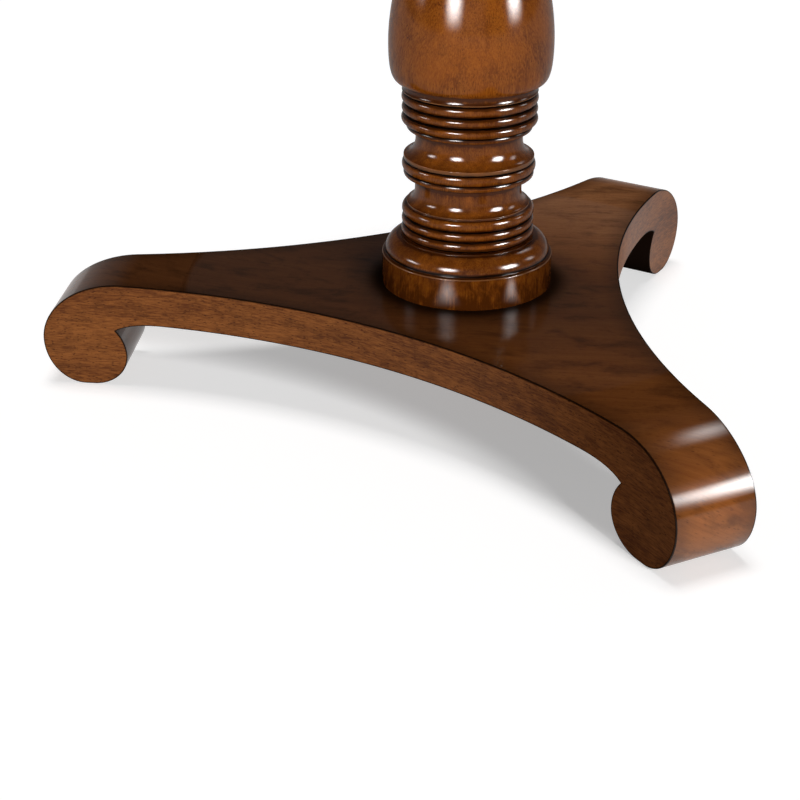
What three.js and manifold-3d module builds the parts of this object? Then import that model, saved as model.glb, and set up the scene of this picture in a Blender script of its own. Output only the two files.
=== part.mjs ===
// A round centre table: a turned column stands on a three-armed platform that runs out into
// scrolled feet, and carries a moulded round top on two crossed bearers.
// Lengths are millimetres and +Z is up. The origin lies on the floor under the column's axis.

import * as THREE from 'three';
import { mergeVertices } from 'three/addons/utils/BufferGeometryUtils.js';
import Module from 'manifold-3d';

const wasm = await Module();
wasm.setup();

// Whole table
const tableHeight = 762;
const topRadius = 533;

// Fits shared by all joints
const fitGap = 0.3;
const glueRoom = 1;
const cutOverrun = 6;

// Platform with three arms and hollow sides
const armCount = 3;
const firstArmAngle = Math.PI;
const platformTop = 104;
const platformThickness = 38.5;
const waistToAxis = 145.5;
const sideRadius = 657;
const jointReach = 268;
const sideSteps = 8;

// Scrolled foot, seen from its side: a sweep over the top, a roll on the floor and a small cove
const footReach = 405;
const sweepLength = 80;
const sweepDrop = 59;
const landCentreReach = 363;
const landWidth = 8;
const rollBackReach = 323.4;
const rollBackHeight = 32;
const curlRun = 44;
const curlRise = 40;
const notchHeight = 57;
const coveLength = 48;
const sweepSteps = 12;
const rollSteps = 9;
const curlSteps = 5;
const coveSteps = 6;

// Dowels between each arm and its foot, and between the capital and the lower bearer
const dowelRadius = 6;
const dowelLength = 56;
const footDowelSpread = 56;
const headDowelSpread = 104;
const headDowelLength = 40;
const dowelSides = 12;

// Column: every turned section stands on a round tenon and is bored for the tie rod
const turnedSides = 28;
const boreRadius = 7.5;
const tenonRadius = 20;
const tenonLength = 14;

// Plinth: a plain drum, a quirk and a domed shoulder
const drumRadius = 80;
const drumHeight = 28.6;
const drumArris = 1;
const quirkRadius = 76.6;
const quirkFall = 0.6;
const quirkHeight = 1.4;
const domeRadius = 77.2;
const domeHeight = 14.2;
const domeFilletRadius = 62.5;
const domeFilletHeight = 1.4;

// Lower stem: three beads, a flange and a neck
const lowerGrooveRadius = 57.2;
const lowerBeads = [
  { height: 10.4, proud: 4.9 },
  { height: 9.3, proud: 4.5 },
  { height: 10.4, proud: 4.3 },
];
const lowerFlangeHeight = 2;
const lowerCoveHeight = 12;
const lowerNeckRadius = 49.5;
const lowerNeckHeight = 9.9;

// Upper stem: a ring and a bead under a flange, a neck, a thin ring and three beads
const ringSeatRadius = 58.6;
const ringUndercut = 3.8;
const ring = { height: 5.2, proud: 1.6 };
const midBead = { height: 9.8, proud: 3.1 };
const flangeRadius = 60.2;
const flangeFall = 0.6;
const flangeHeight = 3.6;
const flangeCoveHeight = 14.8;
const upperNeckRadius = 49.2;
const upperNeckHeight = 8;
const thinRingSeatRadius = 55.2;
const thinRingUndercut = 1.4;
const thinRing = { height: 5.4, proud: 2.6 };
const upperGrooveRadius = 57.4;
const upperBeads = [
  { height: 9.4, proud: 5 },
  { height: 9.5, proud: 4.6 },
  { height: 10.4, proud: 4.8 },
];
const lipRadius = 61.8;
const lipFall = 0.7;
const lipHeight = 1;
const underVaseCoveHeight = 6.4;
const underVaseRadius = 60.4;
const underVaseFillet = 1;

// Vase: a full rounded heel, a swelling and a long taper to its neck
const vaseHeelRadius = 63.5;
const vaseSwellRadius = 74.2;
const vaseSwellRise = 34.8;
const heelOutHandle = 8;
const heelUpHandle = 24;
const vaseNeckRadius = 36;
const swellHandle = 62;
const neckHandle = 55;
const heelSteps = 6;
const taperSteps = 9;

// Collar: a bead between two fillets
const collarFilletRadius = 40;
const collarFilletHeight = 4;
const collarBead = { height: 14, proud: 7 };

// Capital: a short shaft that flares under a rounded cushion and a plain disc
const capitalShaftRadius = 37;
const capitalShaftHeight = 20;
const flareRadius = 64;
const flareHeight = 66;
const capitalFilletHeight = 5;
const cushionRadius = 76;
const cushionHeight = 18;
const cushionQuirk = 3;
const headDiscRadius = 80;
const headDiscHeight = 34;

// Tie rod with a washer and a nut at each end
const rodRadius = 6;
const rodSides = 16;
const washerRadius = 18;
const washerThickness = 2.5;
const nutAcrossFlats = 19;
const nutHeight = 10;
const nutSides = 6;
const rodPastNut = 3;
const recessRadius = 22;
const lowerRecessDepth = 16;

// Crossed bearers under the top
const bearerWidth = 70;
const bearerDepth = 40;
const bearerEndGap = 1;
const bearerTaperLength = 140;
const bearerTipDepth = 20;

// Wood screws through the bearers into the top
const screwReaches = [110, 270];
const screwLength = 52;
const screwShankRadius = 2.3;
const screwHeadRadius = 4.5;
const screwHeadHeight = 3;
const screwPointLength = 4;
const screwSides = 10;

// Round top: a panel inside a moulded edge that is jointed from curved lengths
const topThickness = 28;
const topSides = 48;
const edgeLengths = 8;
const edgeWidth = 38;
const edgeOvoloWidth = 12;
const edgeOvoloHeight = 16;
const edgeFilletHeight = 3;
const edgeFilletDepth = 2.5;
const edgeCoveWidth = 8;
const edgeCoveHeight = 7;

// Apron under the top, jointed from curved lengths with a glue block behind each joint
const topOverhang = 49;
const apronThickness = 20;
const apronDepth = 62;
const apronBead = { height: 8, proud: 3 };
const blockLength = 70;
const blockWidth = 26;
const blockHeight = 40;

// Steps that each kind of moulding is drawn with
const arrisSteps = 2;
const beadSteps = 5;
const smallBeadSteps = 3;
const quarterSteps = 4;
const domeSteps = 5;

// Finishes
const finishes = {
  polished: { color: '#7a4222', roughness: 0.28, metalness: 0 },
  veneer: { color: '#5a2f1b', roughness: 0.32, metalness: 0 },
  secondary: { color: '#b08a5c', roughness: 0.75, metalness: 0 },
  steel: { color: '#9a9da0', roughness: 0.38, metalness: 1 },
};

// Heights that follow from the sizes above
const platformUnderside = platformTop - platformThickness;
const topUnderside = tableHeight - topThickness;
const columnHead = topUnderside - bearerDepth;

const table = new THREE.Group();

// Adds a finished piece to the table under its name.
function addPiece(name, body, finish) {
  const { vertProperties, triVerts } = body.getMesh();
  const geometry = new THREE.BufferGeometry();
  geometry.setAttribute('position', new THREE.BufferAttribute(vertProperties, 3));
  geometry.setIndex(new THREE.BufferAttribute(triVerts, 1));
  geometry.computeVertexNormals();
  const mesh = new THREE.Mesh(geometry, new THREE.MeshStandardMaterial(finish));
  mesh.name = name;
  table.add(mesh);
}

// Turns a closed three.js geometry into a solid that can be cut and joined.
function toSolid(geometry) {
  geometry.deleteAttribute('normal');
  geometry.deleteAttribute('uv');
  const merged = mergeVertices(geometry);
  const corners = merged.index.array;
  const kept = [];
  for (let i = 0; i < corners.length; i += 3) {
    const [a, b, c] = corners.slice(i, i + 3);
    if (a !== b && b !== c && c !== a) kept.push(a, b, c);
  }
  return new wasm.Manifold(new wasm.Mesh({
    numProp: 3,
    vertProperties: merged.attributes.position.array,
    triVerts: Uint32Array.from(kept),
  }));
}

// Extrudes a flat outline upwards from a given height.
function upright(shape, bottom, height, curveSteps) {
  const geometry = new THREE.ExtrudeGeometry(shape, {
    depth: height,
    bevelEnabled: false,
    curveSegments: curveSteps,
  });
  geometry.translate(0, 0, bottom);
  return geometry;
}

// A round bar between two heights on the Z axis.
function roundBar(radius, bottom, top, sides) {
  const geometry = new THREE.CylinderGeometry(radius, radius, top - bottom, sides);
  geometry.rotateX(Math.PI / 2);
  geometry.translate(0, 0, (top + bottom) / 2);
  return geometry;
}

// A round bar that lies along an arm, from one reach to another.
function barAlongArm(radius, fromReach, toReach, aside, height, angle, sides) {
  const geometry = new THREE.CylinderGeometry(radius, radius, toReach - fromReach, sides);
  geometry.rotateZ(Math.PI / 2);
  geometry.translate((fromReach + toReach) / 2, aside, height);
  geometry.rotateZ(angle);
  return geometry;
}

// Spins a closed outline of radius and height about the column's axis.
function spun(points, sides) {
  const geometry = new THREE.LatheGeometry([...points, points[0]], sides);
  geometry.rotateX(Math.PI / 2);
  return geometry;
}

// Draws a turned outline upwards, one moulding after another; x is the radius, y the height.
class Turning {
  constructor(radius, height) {
    this.points = [new THREE.Vector2(radius, height)];
  }

  get end() {
    return this.points.at(-1);
  }

  to(radius, height) {
    this.points.push(new THREE.Vector2(radius, height));
    return this;
  }

  rise(height) {
    return this.to(this.end.x, this.end.y + height);
  }

  slope(radius, height) {
    return this.to(radius, this.end.y + height);
  }

  step(radius) {
    return this.to(radius, this.end.y);
  }

  // A half-round that stands proud of the groove it starts from.
  bead({ height, proud }, steps) {
    const start = this.end.clone();
    for (let i = 1; i <= steps; i++) {
      const turn = Math.PI * i / steps;
      this.to(start.x + proud * Math.sin(turn), start.y + height / 2 * (1 - Math.cos(turn)));
    }
    return this;
  }

  // A quarter curve that leaves upright and arrives level.
  uprightQuarter(radius, height, steps) {
    const start = this.end.clone();
    for (let i = 1; i <= steps; i++) {
      const turn = Math.PI / 2 * i / steps;
      this.to(start.x + (radius - start.x) * (1 - Math.cos(turn)), start.y + height * Math.sin(turn));
    }
    return this;
  }

  // A quarter curve that leaves level and arrives upright.
  levelQuarter(radius, height, steps) {
    const start = this.end.clone();
    for (let i = 1; i <= steps; i++) {
      const turn = Math.PI / 2 * i / steps;
      this.to(start.x + (radius - start.x) * Math.sin(turn), start.y + height * (1 - Math.cos(turn)));
    }
    return this;
  }

  // A free curve with a handle at each end.
  sweep(firstHandle, secondHandle, finish, steps) {
    const curve = new THREE.CubicBezierCurve(this.end.clone(), firstHandle, secondHandle, finish);
    this.points.push(...curve.getPoints(steps).slice(1));
    return this;
  }
}

// A column section: the turned outside, a tenon below, a socket above and the bore for the rod.
function columnSection(turning, hasSocket) {
  const outline = turning.points;
  const foot = outline[0].y;
  const head = outline.at(-1).y;
  const socketRadius = tenonRadius + fitGap;
  const socketFloor = head - tenonLength - glueRoom;
  const inside = hasSocket
    ? [[socketRadius, head], [socketRadius, socketFloor], [boreRadius, socketFloor]]
    : [[boreRadius, head]];
  const below = [
    [boreRadius, foot - tenonLength],
    [tenonRadius, foot - tenonLength],
    [tenonRadius, foot],
  ];
  return toSolid(spun([
    ...below.map(([x, y]) => new THREE.Vector2(x, y)),
    ...outline,
    ...inside.map(([x, y]) => new THREE.Vector2(x, y)),
  ], turnedSides));
}

// Half the width of an arm at a given reach, on the circle that hollows its side.
const sideCentreReach = waistToAxis + sideRadius;
const halfSector = Math.PI / armCount;
function armHalfWidth(reach) {
  const along = reach - sideCentreReach * Math.cos(halfSector);
  return sideCentreReach * Math.sin(halfSector) - Math.sqrt(sideRadius ** 2 - along ** 2);
}

// The platform's outline: one hollow curve between each arm and the next, with square arm ends.
function platformOutline() {
  const corner = new THREE.Vector2(jointReach, armHalfWidth(jointReach));
  const bisector = new THREE.Vector2(Math.cos(halfSector), Math.sin(halfSector));
  const swing = Math.acos((sideCentreReach - corner.dot(bisector)) / sideRadius);
  const shape = new THREE.Shape();
  for (let arm = 0; arm < armCount; arm++) {
    const middle = firstArmAngle + (2 * arm + 1) * halfSector;
    const centreX = sideCentreReach * Math.cos(middle);
    const centreY = sideCentreReach * Math.sin(middle);
    const inward = middle + Math.PI;
    shape.absarc(centreX, centreY, sideRadius, inward + swing, inward - swing, true);
  }
  shape.closePath();
  return shape;
}

// Points along a quarter of an ellipse, or less of it, from one angle to another.
function ellipseArc(centreX, centreZ, runX, runZ, from, to, steps) {
  const points = [];
  for (let i = 0; i <= steps; i++) {
    const angle = from + (to - from) * i / steps;
    points.push(new THREE.Vector2(centreX + runX * Math.cos(angle), centreZ + runZ * Math.sin(angle)));
  }
  return points;
}

// A foot's side outline from its joint over the sweep, round the roll and back along the cove.
function scrollOutline() {
  const quarter = Math.PI / 2;
  const start = jointReach + fitGap;
  const frontHeight = platformTop - sweepDrop;
  const landFront = landCentreReach + landWidth / 2;
  const landBack = landCentreReach - landWidth / 2;
  const notchTurn = Math.asin((notchHeight - rollBackHeight) / curlRise);
  const notchReach = rollBackReach + curlRun * (1 - Math.cos(notchTurn));
  const coveRise = platformUnderside - notchHeight;
  return new THREE.Shape([
    new THREE.Vector2(start, platformUnderside),
    new THREE.Vector2(start, platformTop),
    ...ellipseArc(footReach - sweepLength, frontHeight, sweepLength, sweepDrop, quarter, 0, sweepSteps),
    ...ellipseArc(landFront, frontHeight, footReach - landFront, frontHeight, 0, -quarter, rollSteps)
      .slice(1),
    ...ellipseArc(landBack, rollBackHeight, landBack - rollBackReach, rollBackHeight,
      -quarter, -2 * quarter, rollSteps),
    ...ellipseArc(rollBackReach + curlRun, rollBackHeight, curlRun, curlRise,
      2 * quarter, 2 * quarter - notchTurn, curlSteps).slice(1),
    ...ellipseArc(notchReach - coveLength, notchHeight, coveLength, coveRise, 0, quarter, coveSteps)
      .slice(1),
  ]);
}

// A foot's plan outline, which carries the arm's hollow sides on to its tip.
function footPlan() {
  const inner = jointReach - cutOverrun;
  const outer = footReach + cutOverrun;
  const oneSide = [];
  for (let i = 0; i <= sideSteps; i++) {
    const reach = inner + (outer - inner) * i / sideSteps;
    oneSide.push(new THREE.Vector2(reach, armHalfWidth(reach)));
  }
  const otherSide = oneSide.map((point) => new THREE.Vector2(point.x, -point.y)).reverse();
  return new THREE.Shape([...oneSide, ...otherSide].reverse());
}

// The side outline stands on edge and is cut to the plan outline, as a sawn block would be.
function scrollFoot(angle) {
  const widest = armHalfWidth(jointReach) + cutOverrun;
  const profile = new THREE.ExtrudeGeometry(scrollOutline(), {
    depth: 2 * widest,
    bevelEnabled: false,
  });
  profile.rotateX(Math.PI / 2);
  profile.translate(0, widest, 0);
  profile.rotateZ(angle);
  const plan = upright(footPlan(), -cutOverrun, platformTop + 2 * cutOverrun, 1);
  plan.rotateZ(angle);
  return toSolid(profile).intersect(toSolid(plan));
}

// Base: platform, feet and their dowels
const armNames = ['left', 'front', 'rear'];
const platformMiddle = platformTop - platformThickness / 2;
const socketInPlatform = tenonLength + glueRoom;
const dowelHoleRadius = dowelRadius + fitGap;
const dowelHoleReach = dowelLength / 2 + glueRoom;
let platform = toSolid(upright(platformOutline(), platformUnderside, platformThickness, sideSteps));
platform = platform
  .subtract(toSolid(roundBar(boreRadius, platformUnderside - cutOverrun, platformTop + cutOverrun, rodSides)))
  .subtract(toSolid(roundBar(tenonRadius + fitGap, platformTop - socketInPlatform,
    platformTop + cutOverrun, turnedSides)))
  .subtract(toSolid(roundBar(recessRadius, platformUnderside - cutOverrun,
    platformUnderside + lowerRecessDepth, turnedSides)));

armNames.forEach((armName, arm) => {
  const angle = firstArmAngle + arm * 2 * halfSector;
  let foot = scrollFoot(angle);
  [-1, 1].forEach((side) => {
    const aside = side * footDowelSpread / 2;
    const hole = toSolid(barAlongArm(dowelHoleRadius, jointReach - dowelHoleReach,
      jointReach + dowelHoleReach, aside, platformMiddle, angle, dowelSides));
    platform = platform.subtract(hole);
    foot = foot.subtract(hole);
    const dowel = toSolid(barAlongArm(dowelRadius, jointReach - dowelLength / 2,
      jointReach + dowelLength / 2, aside, platformMiddle, angle, dowelSides));
    addPiece(`foot_dowel_${armName}_${side < 0 ? 'a' : 'b'}`, dowel, finishes.secondary);
  });
  addPiece(`scroll_foot_${armName}`, foot, finishes.polished);
});
addPiece('base_platform', platform, finishes.veneer);

// Column, from the plinth upwards
const plinthTurning = new Turning(drumRadius, platformTop)
  .rise(drumHeight)
  .uprightQuarter(drumRadius - drumArris, drumArris, arrisSteps)
  .slope(quirkRadius, quirkFall)
  .rise(quirkHeight)
  .step(domeRadius)
  .uprightQuarter(domeFilletRadius, domeHeight, domeSteps)
  .rise(domeFilletHeight);
addPiece('column_plinth', columnSection(plinthTurning, true), finishes.polished);

const lowerStem = new Turning(lowerGrooveRadius, plinthTurning.end.y);
lowerBeads.forEach((bead) => lowerStem.bead(bead, beadSteps));
lowerStem
  .rise(lowerFlangeHeight)
  .levelQuarter(lowerNeckRadius, lowerCoveHeight, quarterSteps)
  .rise(lowerNeckHeight);
addPiece('lower_stem', columnSection(lowerStem, true), finishes.polished);

const upperStem = new Turning(lowerNeckRadius, lowerStem.end.y)
  .slope(ringSeatRadius, ringUndercut)
  .bead(ring, smallBeadSteps)
  .bead(midBead, beadSteps)
  .slope(flangeRadius, flangeFall)
  .rise(flangeHeight)
  .levelQuarter(upperNeckRadius, flangeCoveHeight, quarterSteps)
  .rise(upperNeckHeight)
  .slope(thinRingSeatRadius, thinRingUndercut)
  .bead(thinRing, smallBeadSteps)
  .step(upperGrooveRadius);
upperBeads.forEach((bead) => upperStem.bead(bead, beadSteps));
upperStem
  .slope(lipRadius, lipFall)
  .rise(lipHeight)
  .levelQuarter(underVaseRadius, underVaseCoveHeight, smallBeadSteps)
  .rise(underVaseFillet);
addPiece('upper_stem', columnSection(upperStem, true), finishes.polished);

const capitalHeight = capitalShaftHeight + flareHeight + capitalFilletHeight + cushionHeight
  + cushionQuirk + headDiscHeight;
const collarHeight = 2 * collarFilletHeight + collarBead.height;
const capitalFoot = columnHead - capitalHeight;
const collarFoot = capitalFoot - collarHeight;
const vaseFoot = upperStem.end.y;
const vaseSwellHeight = vaseFoot + vaseSwellRise;
const vaseTurning = new Turning(vaseHeelRadius, vaseFoot)
  .sweep(
    new THREE.Vector2(vaseHeelRadius + heelOutHandle, vaseFoot),
    new THREE.Vector2(vaseSwellRadius, vaseSwellHeight - heelUpHandle),
    new THREE.Vector2(vaseSwellRadius, vaseSwellHeight),
    heelSteps,
  )
  .sweep(
    new THREE.Vector2(vaseSwellRadius, vaseSwellHeight + swellHandle),
    new THREE.Vector2(vaseNeckRadius, collarFoot - neckHandle),
    new THREE.Vector2(vaseNeckRadius, collarFoot),
    taperSteps,
  );
addPiece('column_vase', columnSection(vaseTurning, true), finishes.polished);

const collarTurning = new Turning(collarFilletRadius, collarFoot)
  .rise(collarFilletHeight)
  .bead(collarBead, beadSteps)
  .rise(collarFilletHeight);
addPiece('column_collar', columnSection(collarTurning, true), finishes.polished);

const capitalTurning = new Turning(capitalShaftRadius, capitalFoot)
  .rise(capitalShaftHeight)
  .uprightQuarter(flareRadius, flareHeight, domeSteps)
  .rise(capitalFilletHeight)
  .levelQuarter(cushionRadius, cushionHeight, quarterSteps)
  .rise(cushionQuirk)
  .step(headDiscRadius)
  .rise(headDiscHeight);
let capital = columnSection(capitalTurning, false);

// Bearers: two tapered rails, half-lapped where they cross over the capital
const apronRadius = topRadius - topOverhang;
const apronInner = apronRadius - apronThickness;
const apronInnerFlat = apronInner * Math.cos(Math.PI / topSides);
const bearerHalf = Math.sqrt(apronInnerFlat ** 2 - (bearerWidth / 2) ** 2) - bearerEndGap;
const lapHeight = columnHead + bearerDepth / 2;
function bearerBlank() {
  const taperStart = bearerHalf - bearerTaperLength;
  const tipUnderside = topUnderside - bearerTipDepth;
  const side = new THREE.Shape([
    new THREE.Vector2(-bearerHalf, tipUnderside),
    new THREE.Vector2(-taperStart, columnHead),
    new THREE.Vector2(taperStart, columnHead),
    new THREE.Vector2(bearerHalf, tipUnderside),
    new THREE.Vector2(bearerHalf, topUnderside),
    new THREE.Vector2(-bearerHalf, topUnderside),
  ]);
  const geometry = new THREE.ExtrudeGeometry(side, { depth: bearerWidth, bevelEnabled: false });
  geometry.rotateX(Math.PI / 2);
  geometry.translate(0, bearerWidth / 2, 0);
  return geometry;
}
function lapCutter(bottom, top) {
  const lapWidth = bearerWidth + 2 * fitGap;
  const geometry = new THREE.BoxGeometry(lapWidth, bearerWidth + 2 * cutOverrun, top - bottom);
  geometry.translate(0, 0, (top + bottom) / 2);
  return geometry;
}
const rodHole = roundBar(boreRadius, platformUnderside, tableHeight, rodSides);
let lowerBearer = toSolid(bearerBlank())
  .subtract(toSolid(lapCutter(lapHeight, topUnderside + cutOverrun)))
  .subtract(toSolid(rodHole.clone()));
const upperBlank = bearerBlank();
const upperLap = lapCutter(columnHead - cutOverrun, lapHeight);
upperBlank.rotateZ(Math.PI / 2);
upperLap.rotateZ(Math.PI / 2);
const upperRecessDepth = washerThickness + nutHeight + rodPastNut + glueRoom;
let upperBearer = toSolid(upperBlank)
  .subtract(toSolid(upperLap))
  .subtract(toSolid(rodHole.clone()))
  .subtract(toSolid(roundBar(recessRadius, topUnderside - upperRecessDepth,
    topUnderside + cutOverrun, turnedSides)));

[-1, 1].forEach((side) => {
  const aside = side * headDowelSpread / 2;
  const place = (geometry) => toSolid(geometry.translate(aside, 0, 0));
  const middle = columnHead;
  const hole = place(roundBar(dowelHoleRadius, middle - headDowelLength / 2 - glueRoom,
    middle + headDowelLength / 2 + glueRoom, dowelSides));
  capital = capital.subtract(hole);
  lowerBearer = lowerBearer.subtract(hole);
  const dowel = place(roundBar(dowelRadius, middle - headDowelLength / 2,
    middle + headDowelLength / 2, dowelSides));
  addPiece(`head_dowel_${side < 0 ? 'a' : 'b'}`, dowel, finishes.secondary);
});
addPiece('column_capital', capital, finishes.polished);

// A screw's outline from its countersunk head to its point, or the same a little wider for its hole
function screwOutline(growth) {
  const point = columnHead + screwLength + growth;
  return [
    new THREE.Vector2(screwHeadRadius + growth, columnHead + growth),
    new THREE.Vector2(screwShankRadius + growth, columnHead + screwHeadHeight + growth),
    new THREE.Vector2(screwShankRadius + growth, point - screwPointLength),
    new THREE.Vector2(0, point),
  ];
}
const screwShape = [new THREE.Vector2(0, columnHead), ...screwOutline(0)];
const holeShape = [
  new THREE.Vector2(0, columnHead - cutOverrun),
  new THREE.Vector2(screwHeadRadius + fitGap, columnHead - cutOverrun),
  ...screwOutline(fitGap),
];
let topPanel = toSolid(roundBar(topRadius - edgeWidth - fitGap, topUnderside, tableHeight, topSides));
const screwAngles = [0, Math.PI / 2, Math.PI, 3 * Math.PI / 2];
screwAngles.forEach((angle, armIndex) => {
  screwReaches.forEach((reach, reachIndex) => {
    const place = (geometry) => toSolid(geometry.translate(reach, 0, 0).rotateZ(angle));
    const hole = place(spun(holeShape, screwSides));
    if (armIndex % 2) upperBearer = upperBearer.subtract(hole);
    else lowerBearer = lowerBearer.subtract(hole);
    topPanel = topPanel.subtract(hole);
    const number = armIndex * screwReaches.length + reachIndex + 1;
    addPiece(`bearer_screw_${number}`, place(spun(screwShape, screwSides)), finishes.steel);
  });
});
addPiece('bearer_lower', lowerBearer, finishes.secondary);
addPiece('bearer_upper', upperBearer, finishes.secondary);
addPiece('top_panel', topPanel, finishes.veneer);

// Tie rod, with a washer and a nut in the recess at each end
const lowerSeat = platformUnderside + lowerRecessDepth;
const upperSeat = topUnderside - upperRecessDepth;
const stack = washerThickness + nutHeight;
const rodBottom = lowerSeat - stack - rodPastNut;
const rodTop = upperSeat + stack + rodPastNut;
addPiece('tie_rod', toSolid(roundBar(rodRadius, rodBottom, rodTop, rodSides)), finishes.steel);
function threadedOn(outline, bottom, height) {
  const hole = new THREE.Path();
  hole.absarc(0, 0, rodRadius + fitGap, 0, 2 * Math.PI, true);
  outline.holes.push(hole);
  return toSolid(upright(outline, bottom, height, rodSides / 2));
}
function washerOutline() {
  return new THREE.Shape().absarc(0, 0, washerRadius, 0, 2 * Math.PI, false);
}
function nutOutline() {
  const corners = [];
  for (let i = 0; i < nutSides; i++) {
    const angle = 2 * Math.PI * i / nutSides;
    const cornerRadius = nutAcrossFlats / 2 / Math.cos(Math.PI / nutSides);
    corners.push(new THREE.Vector2(cornerRadius * Math.cos(angle), cornerRadius * Math.sin(angle)));
  }
  return new THREE.Shape(corners);
}
addPiece('washer_lower', threadedOn(washerOutline(), lowerSeat - washerThickness, washerThickness),
  finishes.steel);
addPiece('nut_lower', threadedOn(nutOutline(), lowerSeat - stack, nutHeight), finishes.steel);
addPiece('washer_upper', threadedOn(washerOutline(), upperSeat, washerThickness), finishes.steel);
addPiece('nut_upper', threadedOn(nutOutline(), upperSeat + washerThickness, nutHeight), finishes.steel);

// Moulded edge and apron, both cut from a spun ring into curved lengths
function wedge(angle, halfAngle, bottom, height) {
  const apex = fitGap / 2 / Math.sin(halfAngle);
  const reach = topRadius / Math.cos(halfAngle) + cutOverrun;
  const shape = new THREE.Shape([
    new THREE.Vector2(apex, 0),
    new THREE.Vector2(apex + reach * Math.cos(halfAngle), -reach * Math.sin(halfAngle)),
    new THREE.Vector2(apex + reach * Math.cos(halfAngle), reach * Math.sin(halfAngle)),
  ]);
  const geometry = upright(shape, bottom, height, 1);
  geometry.rotateZ(angle);
  return toSolid(geometry);
}
function addRing(name, outline, finish) {
  const ringSolid = toSolid(spun(outline, topSides));
  const sector = 2 * Math.PI / edgeLengths;
  for (let i = 0; i < edgeLengths; i++) {
    const cutter = wedge(i * sector, sector / 2, columnHead - apronDepth, tableHeight);
    addPiece(`${name}_${i + 1}`, ringSolid.intersect(cutter), finish);
  }
}

const edgeTurning = new Turning(topRadius - edgeFilletDepth - edgeCoveWidth, topUnderside)
  .uprightQuarter(topRadius - edgeFilletDepth, edgeCoveHeight, quarterSteps)
  .step(topRadius)
  .rise(edgeFilletHeight)
  .to(topRadius, tableHeight - edgeOvoloHeight)
  .uprightQuarter(topRadius - edgeOvoloWidth, edgeOvoloHeight, domeSteps);
addRing('top_edge', [
  new THREE.Vector2(topRadius - edgeWidth, topUnderside),
  ...edgeTurning.points,
  new THREE.Vector2(topRadius - edgeWidth, tableHeight),
], finishes.polished);

const apronTurning = new Turning(apronRadius, topUnderside - apronDepth)
  .bead(apronBead, beadSteps)
  .to(apronRadius, topUnderside);
addRing('apron', [
  new THREE.Vector2(apronInner, topUnderside - apronDepth),
  ...apronTurning.points,
  new THREE.Vector2(apronInner, topUnderside),
], finishes.polished);

// A glue block behind each apron joint, its outer face rounded to the apron
const blockLimit = roundBar(apronInner - fitGap, topUnderside - blockHeight - cutOverrun,
  tableHeight, topSides);
for (let i = 0; i < edgeLengths; i++) {
  const block = new THREE.BoxGeometry(2 * blockWidth, blockLength, blockHeight);
  block.translate(apronInner, 0, topUnderside - blockHeight / 2);
  block.rotateZ((2 * i + 1) * Math.PI / edgeLengths);
  addPiece(`glue_block_${i + 1}`, toSolid(block).intersect(toSolid(blockLimit.clone())),
    finishes.secondary);
}

export default table;
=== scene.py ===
import math

import bmesh
import bpy
import numpy as np
from mathutils import Matrix, Vector


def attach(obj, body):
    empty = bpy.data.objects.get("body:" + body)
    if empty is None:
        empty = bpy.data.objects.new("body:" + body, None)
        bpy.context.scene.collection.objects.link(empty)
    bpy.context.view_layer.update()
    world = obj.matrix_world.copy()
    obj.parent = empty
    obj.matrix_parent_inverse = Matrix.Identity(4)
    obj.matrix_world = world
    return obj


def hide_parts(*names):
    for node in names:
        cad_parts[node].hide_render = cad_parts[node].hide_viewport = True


# A round centre table: a turned column stands on a three-armed platform that runs out into
# scrolled feet, and carries a moulded round top. Sizes are written in millimetres.

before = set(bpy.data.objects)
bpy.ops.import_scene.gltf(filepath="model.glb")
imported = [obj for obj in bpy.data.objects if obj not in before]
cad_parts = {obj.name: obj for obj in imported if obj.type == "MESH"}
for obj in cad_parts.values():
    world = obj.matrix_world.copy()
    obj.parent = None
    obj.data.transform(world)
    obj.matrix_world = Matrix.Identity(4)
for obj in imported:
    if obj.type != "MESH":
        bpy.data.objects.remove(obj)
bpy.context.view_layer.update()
scene = bpy.context.scene
mm = 0.001

# Guards against rounding: a divisor's least size, and how near counts as touching
tiny = 1e-9
nearly = 1e-4
seam = 1e-7

# Platform and scrolled feet. The circle that hollows a side has its centre at hollow_reach, and
# the three sides lie side_spacing apart on the board that their grain is taken from
platform_top = 104.0
platform_underside = 65.5
waist_to_axis = 145.5
side_radius = 657.0
hollow_reach = waist_to_axis + side_radius
side_spacing = 400.0
side_steps = 72
joint_reach = 268.0
foot_reach = 405.0
sweep_length = 80.0
sweep_drop = 59.0
land_reach = 363.0
land_width = 8.0
roll_back_reach = 323.4
roll_back_height = 32.0
curl_run = 44.0
curl_rise = 40.0
notch_height = 57.0
cove_length = 48.0
cove_handle = (9.0, 5.5)
arris_radius = 0.8
arris_band = 1.1
arris_steps = 8
recess_radius = 22.0
recess_depth = 16.0
recess_sides = 64
base_crease = math.radians(40)
arm_angles = {"left": math.pi, "front": -math.pi / 3, "rear": math.pi / 3}

# Column, and what a turner leaves: an eased corner, and straight runs cut into short ones
column_sides = 160
column_head = 694.0
drum_radius = 80.0
tool_mark = 0.45
turned_run = 2.5
turned_crease = math.radians(50)

# Round top, its moulded edge and its apron
table_height = 762.0
top_underside = 734.0
top_radius = 533.0
edge_width = 38.0
apron_radius = 484.0
apron_thickness = 20.0
apron_depth = 62.0
ring_lengths = 8
ring_steps = 24
moulded_run = 3.0
joint_gap = 0.3

# Lacquer and grain: an index, and the relief of the grain as a height in metres and a strength
lacquer_index = 1.5
grain_height = 0.0004
grain_strength = 0.10

# Floor: what it gives of itself, what it takes of the suns, and what it throws back up
floor_glow = 0.38
floor_white = 0.80
floor_bounce = 0.17
white = (1, 1, 1, 1)


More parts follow.
